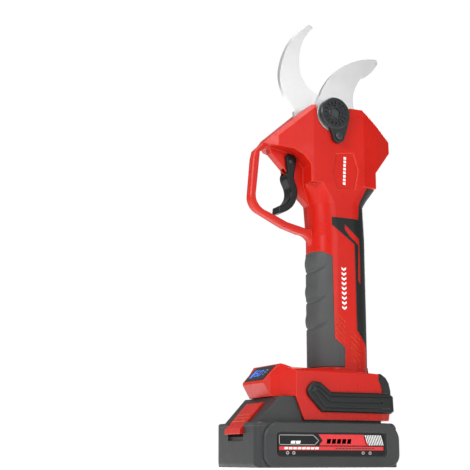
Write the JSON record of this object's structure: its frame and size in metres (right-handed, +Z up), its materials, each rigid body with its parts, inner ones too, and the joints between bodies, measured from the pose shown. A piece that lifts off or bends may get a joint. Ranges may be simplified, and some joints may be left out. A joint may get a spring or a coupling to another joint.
{
  "type": "battery electric pruner",
  "caption": "Hand-held battery pruner: hooked fixed blade and a geared moving blade on a faceted head with trigger guard, oval grip, display foot and slide-in battery pack.",
  "frame": {"origin": "centre of the flat base of the battery pack, on which the tool stands", "axes": "+Z up along the handle to the blades, +X to the rear (the trigger and the display face -X), +Y to the right shell"},
  "size_m": [0.1378, 0.08, 0.3612],
  "materials": {
    "red_plastic": "satin moulded ABS",
    "soft_rubber": "matte overmould",
    "dark_rubber": "matte overmould",
    "black_plastic": "gloss",
    "battery_plastic": "fine texture",
    "blade_steel": "ground and polished",
    "steel": "machined",
    "aluminium": "bead blasted",
    "copper": "enamelled wire",
    "nickel": "plated",
    "circuit_board": "solder mask",
    "screen": "tinted",
    "label_print": "printed film",
    "cell_wrap": "shrink wrap",
    "white_plastic": "moulded"
  },
  "bodies": {
    "housing": {"housing_left": "red_plastic", "housing_right": "red_plastic", "grip_pad_left": "soft_rubber", "grip_pad_right": "soft_rubber", "back_pad_left": "dark_rubber", "back_pad_right": "dark_rubber", "heel_pad": "dark_rubber", "bumper_left": "dark_rubber", "bumper_right": "dark_rubber", "hook_blade": "blade_steel", "lock_plate": "black_plastic", "lock_screw": "black_plastic", "pivot_bolt": "steel", "pivot_nut": "steel", "cheek_left": "aluminium", "cheek_right": "aluminium", "head_screws": "steel", "gear_case": "aluminium", "ring_gear": "steel", "pinion_bearings": "steel", "motor_can": "aluminium", "stator": "steel", "windings": "copper", "motor_end_plate": "aluminium", "trigger_pin": "steel", "trigger_sensor": "circuit_board", "display_window": "screen", "display_board": "circuit_board", "controller_board": "circuit_board", "terminal_block": "white_plastic", "wiring": "dark_rubber", "housing_screws": "steel"},
    "blade": {"cutting_blade": "blade_steel", "sector_gear": "steel", "gear_dowels": "steel"},
    "pinion": {"bevel_pinion": "steel", "output_carrier": "steel"},
    "sun": {"first_carrier": "steel"},
    "rotor": {"motor_rotor": "steel"},
    "trigger": {"trigger": "black_plastic", "trigger_spring": "steel"},
    "button": {"power_button": "black_plastic"},
    "battery": {"battery_case": "battery_plastic", "battery_lid": "battery_plastic", "battery_bezels": "battery_plastic", "battery_labels": "label_print", "battery_cells": "cell_wrap", "cell_holder": "white_plastic", "cell_strips": "nickel", "protection_board": "circuit_board", "pack_contacts": "nickel", "battery_screws": "steel", "latch_spring": "steel"},
    "latch": {"battery_latch": "red_plastic"},
    "second_planet_a": {"second_planet_a": "steel"},
    "first_planet_a": {"first_planet_a": "steel"},
    "second_planet_b": {"second_planet_b": "steel"},
    "first_planet_b": {"first_planet_b": "steel"},
    "second_planet_c": {"second_planet_c": "steel"},
    "first_planet_c": {"first_planet_c": "steel"}
  },
  "joints": [
    {"name": "blade_swing", "type": "hinge", "parent": "housing", "child": "blade", "pos_m": [0.018, 0, 0.2795], "axis": [0, -1, 0], "range_deg": [0, 52]},
    {"name": "pinion_spin", "type": "hinge", "parent": "housing", "child": "pinion", "pos_m": [0.018, 0, 0.2795], "axis": [-0.1045, 0, 0.9945], "range_deg": [0, 156]},
    {"name": "sun_spin", "type": "hinge", "parent": "housing", "child": "sun", "pos_m": [0.018, 0, 0.2795], "axis": [-0.1045, 0, 0.9945], "range_deg": [0, 780]},
    {"name": "rotor_spin", "type": "hinge", "parent": "housing", "child": "rotor", "pos_m": [0.018, 0, 0.2795], "axis": [-0.1045, 0, 0.9945], "range_deg": [0, 3900]},
    {"name": "trigger_pull", "type": "hinge", "parent": "housing", "child": "trigger", "pos_m": [-0.0145, 0, 0.2395], "axis": [0, -1, 0], "range_deg": [0, 8], "stiffness_Nm_per_rad": 0.5, "springref_deg": -11.46},
    {"name": "button_press", "type": "slide", "parent": "housing", "child": "button", "axis": [0, 0, -1], "range_m": [0, 0.0008], "stiffness_N_per_m": 900, "springref_m": -0.001},
    {"name": "battery_slide", "type": "slide", "parent": "housing", "child": "battery", "axis": [-1, 0, 0], "range_m": [0, 0.076]},
    {"name": "latch_press", "type": "slide", "parent": "battery", "child": "latch", "axis": [0, 0, -1], "range_m": [0, 0.0045], "stiffness_N_per_m": 700, "springref_m": -0.002, "deforming": ["latch_spring"]},
    {"name": "second_planet_a_spin", "type": "hinge", "parent": "pinion", "child": "second_planet_a", "pos_m": [0.03122, 0, 0.23263], "axis": [-0.1045, 0, 0.9945], "range_deg": [-416, 0]},
    {"name": "first_planet_a_spin", "type": "hinge", "parent": "sun", "child": "first_planet_a", "pos_m": [0.03248, 0, 0.22069], "axis": [-0.1045, 0, 0.9945], "range_deg": [-2080, 0]},
    {"name": "second_planet_b_spin", "type": "hinge", "parent": "pinion", "child": "second_planet_b", "pos_m": [0.01891, 0.00714, 0.23133], "axis": [-0.1045, 0, 0.9945], "range_deg": [-416, 0]},
    {"name": "first_planet_b_spin", "type": "hinge", "parent": "sun", "child": "first_planet_b", "pos_m": [0.02017, 0.00714, 0.2194], "axis": [-0.1045, 0, 0.9945], "range_deg": [-2080, 0]},
    {"name": "second_planet_c_spin", "type": "hinge", "parent": "pinion", "child": "second_planet_c", "pos_m": [0.01891, -0.00714, 0.23133], "axis": [-0.1045, 0, 0.9945], "range_deg": [-416, 0]},
    {"name": "first_planet_c_spin", "type": "hinge", "parent": "sun", "child": "first_planet_c", "pos_m": [0.02017, -0.00714, 0.2194], "axis": [-0.1045, 0, 0.9945], "range_deg": [-2080, 0]}
  ],
  "couplings": [
    {"joint": "blade_swing", "follows": "rotor_spin", "ratio": 0.013333},
    {"joint": "pinion_spin", "follows": "rotor_spin", "ratio": 0.04},
    {"joint": "sun_spin", "follows": "rotor_spin", "ratio": 0.2},
    {"joint": "second_planet_a_spin", "follows": "rotor_spin", "ratio": -0.10667},
    {"joint": "first_planet_a_spin", "follows": "rotor_spin", "ratio": -0.53333},
    {"joint": "second_planet_b_spin", "follows": "rotor_spin", "ratio": -0.10667},
    {"joint": "first_planet_b_spin", "follows": "rotor_spin", "ratio": -0.53333},
    {"joint": "second_planet_c_spin", "follows": "rotor_spin", "ratio": -0.10667},
    {"joint": "first_planet_c_spin", "follows": "rotor_spin", "ratio": -0.53333}
  ]
}
